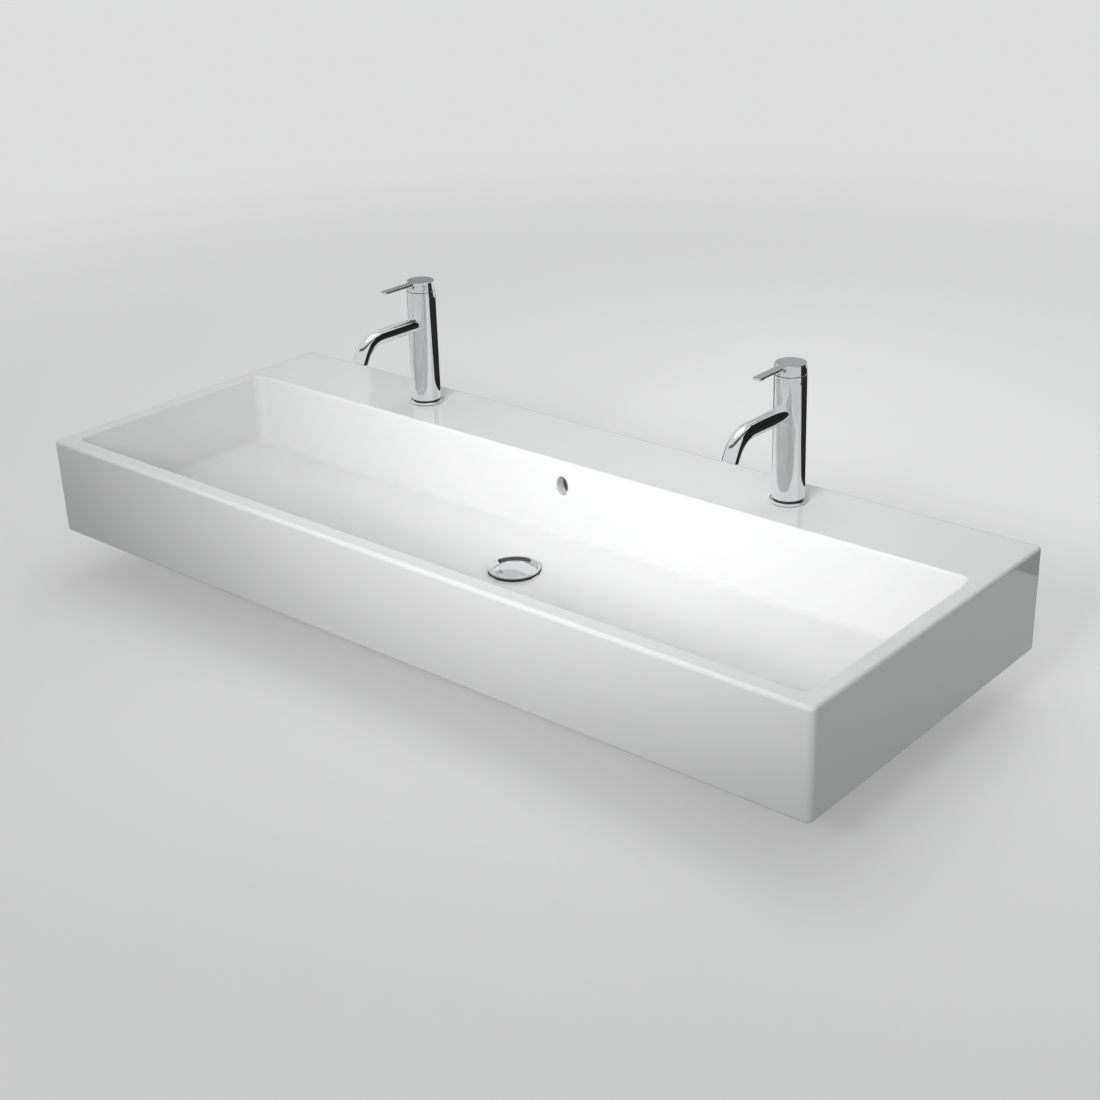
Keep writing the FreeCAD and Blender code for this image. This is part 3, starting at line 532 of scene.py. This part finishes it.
def make_honeycomb():
    """Six-sided cells side by side within a round opening, on a closed plate."""
    given = [("Radius", FLOAT), ("Cell", FLOAT), ("Wall", FLOAT), ("Depth", FLOAT), ("Plate", FLOAT),
             ("Finish", MATERIAL)]
    tree, start, end = group("GeometryNodeTree", "honeycomb", given, [("Geometry", GEOMETRY)])
    rows = 9
    row_step = sum_of(tree, "MULTIPLY", start["Cell"], math.sqrt(3))
    spots = add(tree, "GeometryNodeJoinGeometry")
    for shift in (0.0, 0.5):
        grid = add(tree, "GeometryNodeMeshGrid", {
            "Size X": sum_of(tree, "MULTIPLY", start["Cell"], rows - 1.0),
            "Size Y": sum_of(tree, "MULTIPLY", row_step, rows - 1.0), "Vertices X": rows, "Vertices Y": rows})
        move = add(tree, "ShaderNodeCombineXYZ", {
            "X": sum_of(tree, "MULTIPLY", start["Cell"], shift), "Y": sum_of(tree, "MULTIPLY", row_step, shift)})
        moved = add(tree, "GeometryNodeTransform", {"Geometry": grid.outputs[0], "Translation": move.outputs[0]})
        tree.links.new(moved.outputs[0], spots.inputs[0])
    spot = add(tree, "GeometryNodeInputPosition").outputs[0]
    distance = add(tree, "ShaderNodeVectorMath", {0: spot}, operation="LENGTH")
    inside = sum_of(tree, "SUBTRACT", start["Radius"], sum_of(tree, "MULTIPLY", start["Cell"], 0.55))
    outer = add(tree, "FunctionNodeCompare", {0: distance.outputs["Value"], 1: inside}, operation="GREATER_THAN")
    kept = add(tree, "GeometryNodeDeleteGeometry", {"Geometry": spots.outputs[0], "Selection": outer.outputs[0]})
    corner = sum_of(tree, "MULTIPLY", start["Cell"], 1 / math.sqrt(3))
    six = add(tree, "GeometryNodeCurvePrimitiveCircle", {"Resolution": 6, "Radius": corner})
    turn = add(tree, "GeometryNodeTransform", {"Geometry": six.outputs[0], "Rotation": (0, 0, math.pi / 6)})
    wall = add(tree, "GeometryNodeCurvePrimitiveQuadrilateral", {"Width": start["Wall"], "Height": start["Depth"]})
    upright = add(tree, "GeometryNodeSetCurveNormal", {"Curve": turn.outputs[0]}, mode="Z_UP")
    cell = add(tree, "GeometryNodeCurveToMesh", {0: upright.outputs[0], 1: wall.outputs[0]})
    cells = add(tree, "GeometryNodeInstanceOnPoints", {"Points": kept.outputs[0], "Instance": cell.outputs[0]})
    plate = add(tree, "GeometryNodeMeshCylinder", {
        "Vertices": aerator_plate_sides, "Radius": start["Radius"], "Depth": start["Plate"]})
    behind = sum_of(tree, "MULTIPLY", sum_of(tree, "ADD", start["Depth"], start["Plate"]), -0.5)
    set_back = add(tree, "ShaderNodeCombineXYZ", {"Z": behind})
    placed = add(tree, "GeometryNodeTransform", {"Geometry": plate.outputs[0], "Translation": set_back.outputs[0]})
    joined = add(tree, "GeometryNodeJoinGeometry")
    tree.links.new(placed.outputs[0], joined.inputs[0])
    tree.links.new(cells.outputs[0], joined.inputs[0])
    close_tree(tree, joined.outputs[0], start["Finish"], end)
    return tree


# Ceramic

def basin_piece():
    """The glazed casting, with the edges of its holes and hollows softened as the glaze leaves them."""
    piece = joined_copy("basin", "basin_glazed")
    round_edges(piece, basin_edge)
    fit(piece, "basin")


# Nuts

def nut_piece(node, name, width, bore):
    """A six-sided nut with turned corners and a chamfered hole."""
    low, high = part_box(node)
    height = high.z - low.z
    flat = width / 2
    ease = flat * 0.08
    face_radius = flat * 1.02
    full = hexagon(width)
    cut = hexagon(width, face_radius)

    def turned_off(turn):
        return max(full(turn) - face_radius, 0) * math.tan(math.radians(nut_chamfer_angle))

    piece = stacked(name, [
        (ease, bore), (0, bore + ease), (0, cut), (turned_off, full), (lambda turn: height - turned_off(turn), full),
        (height, cut), (height, bore + ease), (height - ease, bore)],
        Matrix.Translation(((low.x + high.x) / 2, (low.y + high.y) / 2, low.z)), bored=True)
    even_shade(piece, sharp_angle=25.0)
    return piece


# Mixers

def rim_tube(piece):
    """Join the wall and the lining of a spout at its mouth and in the column."""
    shape = bmesh.new()
    shape.from_mesh(piece.data)
    shape.verts.ensure_lookup_table()
    layer = len(shape.verts) // 2
    rims = [edge for edge in shape.edges if edge.is_boundary and edge.verts[0].index < layer]
    for edge in rims:
        first, last = edge.verts
        shape.faces.new((first, last, shape.verts[last.index + layer], shape.verts[first.index + layer]))
    bmesh.ops.recalc_face_normals(shape, faces=shape.faces)
    shape.to_mesh(piece.data)
    shape.free()


def spout_pieces(spout_tree, honeycomb_tree):
    """Bent spouts, and the flow straighteners in their mouths."""
    angle = math.radians(spout_bend_angle)
    axis = Vector((-tap_spacing / 2, tap_y, rim_z + spout_height))
    tube = grow(spout_tree, "left_spout_tube", {
        "Socket": spout_socket, "Reach": spout_reach, "Bend Radius": spout_bend_radius, "Bend Angle": angle,
        "Tail": spout_tail - spout_mouth_seam, "Tube Radius": spout_radius, "Mouth Radius": spout_mouth_radius,
        "Finish": finish["chrome"]})
    rim_tube(tube)
    tube.data.transform(Matrix.Translation(axis))
    even_shade(tube)
    fit_both(tube, "spout")

    outward = Vector((0, -math.cos(angle), -math.sin(angle)))
    mouth = axis + Vector((
        0,
        -spout_reach - spout_bend_radius * math.sin(angle),
        -spout_bend_radius * (1 - math.cos(angle)))) + outward * spout_tail
    cells = grow(honeycomb_tree, "left_flow_straightener", {
        "Radius": aerator_radius, "Cell": aerator_cell, "Wall": aerator_cell_wall,
        "Depth": aerator_cell_depth, "Plate": aerator_plate, "Finish": finish["grey_plastic"]})
    even_shade(cells)
    at_mouth = Matrix.Translation(mouth) @ outward.to_track_quat("Z", "Y").to_matrix().to_4x4()
    cells.data.transform(at_mouth @ Matrix.Translation((0, 0, -aerator_cell_depth / 2)))
    fit_both(cells, "aerator_insert")
    housing = stacked("left_aerator_housing_turned", [
        (-aerator_depth, aerator_radius), (-aerator_depth, spout_mouth_radius), (0, spout_mouth_radius),
        (0, aerator_flange_radius), (aerator_flange_height - aerator_edge, aerator_flange_radius),
        (aerator_flange_height, aerator_flange_radius - aerator_edge),
        (aerator_flange_height, aerator_lip_radius + aerator_edge),
        (aerator_flange_height - aerator_edge, aerator_lip_radius), (0, aerator_lip_radius), (0, aerator_radius)],
        at_mouth, bored=True)
    even_shade(housing)
    fit_both(housing, "aerator_housing")


def paint_groove_shade(piece):
    """Paint shade into the narrow groove between a column and its base ring: the column's own faces there get the
    black rubber finish.
    """
    piece.data.materials.append(finish["chrome"])
    piece.data.materials.append(finish["rubber"])
    for face in piece.data.polygons:
        across = Vector((face.center.x + tap_spacing / 2, face.center.y - tap_y)).length
        at_height = groove_foot_z < face.center.z < groove_top_z
        in_groove = at_height and groove_inner_radius < across < groove_outer_radius
        face.material_index = 1 if in_groove else 0


def mixer_pieces(thread_tree):
    """Polished metal of the mixers, and what clamps them below the deck."""
    for node, width in mixer_edges.items():
        piece = joined_copy("left_" + node, "left_" + node + "_finished")
        round_edges(piece, width)
        # The column's groove is painted black as shade.
        if node == "column":
            paint_groove_shade(piece)
        fit_both(piece, node)

    low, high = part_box("left_set_screw")
    middle = (low + high) / 2
    radius = (high.z - low.z) / 2
    length = high.y - low.y
    tip = radius * 0.6
    end_ease = radius * 0.2
    end_radius = radius * 0.85
    key = hexagon(screw_key_width)
    facing = Matrix.Rotation(math.pi / 2, 4, "X")
    screw = stacked("left_grub_screw", [
        (0, tip), (radius - tip, radius), (length - end_ease, radius), (length, end_radius),
        (length, key), (length - screw_key_depth, key)],
        Matrix.Translation((middle.x, high.y, middle.z)) @ facing, small_ring_steps)
    even_shade(screw)
    fit_both(screw, "set_screw")

    low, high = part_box("left_fixing_stud")
    root = stud_radius - stud_thread_depth
    centre = Vector(((low.x + high.x) / 2, (low.y + high.y) / 2, low.z))
    core = stacked("left_stud_core", [
        (0, root * 0.8), (root * 0.2, root), (high.z - low.z, root)],
        Matrix.Translation(centre), small_ring_steps)
    stud = grow(thread_tree, "left_threaded_stud", {
        "Centre": centre + Vector((0, 0, stud_pitch)), "Length": high.z - low.z - 2 * stud_pitch,
        "Crest": stud_radius, "Depth": stud_thread_depth, "Pitch": stud_pitch, "Finish": finish["steel"]}, core.data)
    bpy.data.objects.remove(core)
    even_shade(stud)
    fit_both(stud, "fixing_stud")
    fit_both(nut_piece("left_clamp_nut", "left_long_nut", clamp_nut_width, stud_radius), "clamp_nut")


# Waste

def seal_piece():
    """Rubber ring below the cover's lip, with a black hem drawn up round the lip's edge as a painted shadow of the
    gap under the lip.
    """
    low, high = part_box("plug_seal")
    cover_low, cover_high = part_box("waste_cover")
    height = high.z - low.z
    outer = (high.x - low.x) / 2
    hem = (cover_high.x - cover_low.x) / 2 + shadow_hem_skin
    ease = shadow_hem_height / 4
    piece = stacked("plug_seal_with_shadow_hem", [
        (0, seal_bore_radius), (0, outer - ease), (ease, outer), (height - ease, outer), (height, hem),
        (height + shadow_hem_height - ease, hem), (height + shadow_hem_height, hem - ease), (height, seal_bore_radius)],
        Matrix.Translation((0, drain_y, low.z)), seal_steps, bored=True)
    even_shade(piece)
    fit(piece, "plug_seal")


def waste_pieces(thread_tree):
    """Cover, threaded body and the rings and nut that clamp it."""
    body = joined_copy("waste_body", "waste_body_core")
    for vertex in body.data.vertices:
        across = Vector((vertex.co.x, vertex.co.y - drain_y))
        off_crest = min(abs(across.length - waste_shank_radius), abs(across.length - waste_outlet_radius))
        if off_crest < waste_crest_skin and vertex.co.z < waste_shank_z + waste_shank_thread:
            across *= 1 - waste_thread_depth / across.length
            vertex.co.x, vertex.co.y = across.x, across.y + drain_y
    round_edges(body, waste_body_edge)
    outlet = {
        "Centre": Vector((0, drain_y, waste_end_z + waste_pitch)), "Crest": waste_outlet_radius,
        "Length": waste_outlet_top_z - waste_end_z - 2 * waste_pitch,
        "Depth": waste_thread_depth, "Pitch": waste_pitch, "Finish": finish["chrome"]}
    shank = dict(
        outlet, Centre=Vector((0, drain_y, waste_shank_z)), Crest=waste_shank_radius, Length=waste_shank_thread)
    tailed = grow(thread_tree, "waste_body_tail", outlet, body.data)
    threaded = grow(thread_tree, "waste_body_threaded", shank, tailed.data)
    for core in (body, tailed):
        bpy.data.objects.remove(core)
    even_shade(threaded, sharp_angle=30.0)
    fit(threaded, "waste_body")
    for node, width in waste_edges.items():
        piece = joined_copy(node, node + "_finished")
        round_edges(piece, width)
        # The cover takes the darker chrome, painted shade for its place deep in the bowl.
        if node == "waste_cover":
            piece.data.materials.append(finish["shaded_cover_chrome"])
        fit(piece, node)
    # The seal's hem is a painted shadow under the cover's lip.
    seal_piece()
    fit(nut_piece("waste_nut", "waste_back_nut", waste_nut_width, waste_shank_radius), "waste_nut")


# Studio

def area_lamp(name, place, aim, size, power, spread):
    """A soft rectangular lamp with a grid that narrows its beam."""
    lamp = bpy.data.lights.new(name, "AREA")
    lamp.shape = "RECTANGLE"
    lamp.size, lamp.size_y = size
    lamp.energy = power
    lamp.spread = math.radians(spread)
    made = bpy.data.objects.new(name, lamp)
    made.location = place
    made.rotation_mode = "QUATERNION"
    made.rotation_quaternion = (Vector(aim) - Vector(place)).to_track_quat("-Z", "Y")
    scene.collection.objects.link(made)
    return made


def sheet(name, corners, paint):
    """One flat sheet of the set."""
    mesh = bpy.data.meshes.new(name)
    mesh.from_pydata(corners, [], [tuple(range(len(corners)))])
    mesh.materials.append(paint)
    made = piece_of(name, mesh)
    return made


def seen_rays(tree):
    """Rays that show the set: to the camera, and through polished or clear surfaces."""
    rays = add(tree, "ShaderNodeLightPath").outputs
    bounced = sum_of(tree, "MAXIMUM", rays["Is Glossy Ray"], rays["Is Transmission Ray"])
    return sum_of(tree, "MAXIMUM", rays["Is Camera Ray"], bounced)


def grey_of(tone):
    """A neutral colour."""
    return tone, tone, tone, 1


def floor_finish():
    """Pale where it is seen, lost in the backdrop far out and clear from below.

    The light that it throws back is quieter, and falls off to the left.
    """
    paint, tree, shader, place = blank_finish("pale_floor")
    seen = seen_rays(tree)
    pale = effect(tree, mottle_group, Place=place, Scale=0.8, First=grey_of(0.60), Second=(0.57, 0.57, 0.575, 1))
    across = add(tree, "ShaderNodeSeparateXYZ", {0: place}).outputs["X"]
    rightward = add(tree, "ShaderNodeMapRange", {
        "Value": across, "From Min": bounce_from_x, "From Max": bounce_to_x, "To Min": 0.0, "To Max": 1.0},
        interpolation_type="SMOOTHSTEP").outputs[0]
    quiet = add(tree, "ShaderNodeMix", {
        0: rightward, 6: grey_of(bounce_left), 7: grey_of(bounce_right)}, data_type="RGBA").outputs[2]
    colour = add(tree, "ShaderNodeMix", {0: seen, 6: quiet, 7: pale}, data_type="RGBA").outputs[2]
    tree.links.new(colour, shader.inputs["Base Color"])
    glow = add(tree, "ShaderNodeMix", {0: seen, 6: grey_of(0.0), 7: grey_of(floor_glow)}, data_type="RGBA").outputs[2]
    tree.links.new(glow, shader.inputs["Emission Color"])
    shader.inputs["Emission Strength"].default_value = 1.0
    shader.inputs["Roughness"].default_value = 0.9
    shader.inputs["Specular IOR Level"].default_value = 0.1
    away = add(tree, "ShaderNodeVectorMath", {0: place}, operation="LENGTH").outputs["Value"]
    fade = add(tree, "ShaderNodeMapRange", {
        "Value": away, "From Min": fade_start, "From Max": fade_end, "To Min": 1.0, "To Max": 0.0},
        interpolation_type="SMOOTHSTEP")
    below = add(tree, "ShaderNodeNewGeometry").outputs["Backfacing"]
    solid = sum_of(tree, "MULTIPLY", fade.outputs[0], sum_of(tree, "SUBTRACT", 1.0, below))
    tree.links.new(solid, shader.inputs["Alpha"])
    return paint


def card_finish(name, tone):
    """Cloth of the cards."""
    paint, tree, shader, place = blank_finish(name)
    shade = effect(tree, mottle_group, Place=place, Scale=40.0, First=grey_of(tone), Second=grey_of(tone * 0.7))
    tree.links.new(shade, shader.inputs["Base Color"])
    shader.inputs["Roughness"].default_value = 1.0
    return paint


def studio():
    """Pale floor and surround, soft lamps, black cards for the chrome, and the photograph's camera."""
    floor_z = cad_box[0].z
    corners = [(x * floor_reach, y * floor_reach, floor_z) for x, y in ((-1, -1), (1, -1), (1, 1), (-1, 1))]
    sheet("floor", corners, floor_finish())

    black = card_finish("black_card", 0.02)
    grey = card_finish("grey_card", 0.42)
    pale = card_finish("pale_card", 0.9)
    low = [(-1.5, 0.3, floor_z), (1.4, 0.3, floor_z), (1.4, 0.3, 0.11), (-1.5, 0.3, 0.11)]
    tall = [(0.63, 1.5, floor_z), (1.75, 0.2, floor_z), (1.75, 0.2, 1.3), (0.63, 1.5, 1.8)]
    hood_outer = [(-2.6, -2.3), (0.4, -2.1), (1.5, -1.35), (2.1, -0.3), (2.2, 1.3)]
    hood_inner = [(1.4, 1.3), (1.15, -0.2), (0.65, -0.8), (0.0, -1.4), (-0.8, -1.64), (-2.6, -1.64)]
    hood = [(x, y, hood_z) for x, y in hood_outer + hood_inner]
    back = [(-2.5, 1.9, 0.8), (-0.2, 1.9, 0.8), (-0.2, 1.9, 1.45), (-2.5, 1.9, 1.45)]
    cards = (
        ("low_card", low, black), ("tall_card", tall, black), ("hood_card", hood, grey), ("back_card", back, pale))
    for name, corners, cloth in cards:
        card = sheet(name, corners, cloth)
        card.visible_camera = False
        card.visible_diffuse = False
        card.visible_shadow = False

    world = bpy.data.worlds.new("studio")
    scene.world = world
    world.use_nodes = True
    tree = world.node_tree
    tree.nodes.clear()
    fill = add(tree, "ShaderNodeBackground", {"Color": (0.98, 0.99, 1.0, 1), "Strength": fill_strength})
    surround = add(tree, "ShaderNodeBackground", {"Color": (0.72, 0.72, 0.725, 1), "Strength": 1.0})
    both = add(tree, "ShaderNodeMixShader", {0: seen_rays(tree), 1: fill.outputs[0], 2: surround.outputs[0]})
    add(tree, "ShaderNodeOutputWorld", {"Surface": both.outputs[0]})

    key = area_lamp(
        "key_lamp", place=(0.45, -1.6, 0.85), aim=(-0.1, 0.9, 0.25), size=(1.0, 0.5), power=6.2, spread=64.0)
    rear = area_lamp(
        "rear_lamp", place=(-0.4, 1.5, 1.5), aim=(0.0, -0.45, 0.0), size=(2.4, 1.0), power=2.8, spread=120.0)
    area_lamp(
        "top_lamp", place=(-0.3, 0.1, 2.0), aim=(-0.1, -0.2, 0.0), size=(1.6, 1.2), power=5.0, spread=180.0)
    for lamp in (key, rear):
        lamp.visible_glossy = False

    lens = bpy.data.cameras.new("photo_camera")
    lens.lens = camera_lens
    lens.sensor_width = camera_film_width
    lens.shift_y = camera_shift_y
    camera = bpy.data.objects.new("photo_camera", lens)
    scene.collection.objects.link(camera)
    look = (camera_aim - camera_place).to_track_quat("-Z", "Y").to_matrix()
    roll = Matrix.Rotation(math.radians(camera_roll), 3, "Z")
    camera.matrix_world = Matrix.Translation(camera_place) @ (look @ roll).to_4x4()
    scene.camera = camera
    scene.view_settings.view_transform = "Standard"


studio()
thread_tree = make_thread()
basin_piece()
spout_pieces(make_spout(), make_honeycomb())
mixer_pieces(thread_tree)
waste_pieces(thread_tree)
for node, carried in frame["nodes"].items():
    carried.data.materials.clear()
    carried.data.materials.append(finish[slot_of[node]])
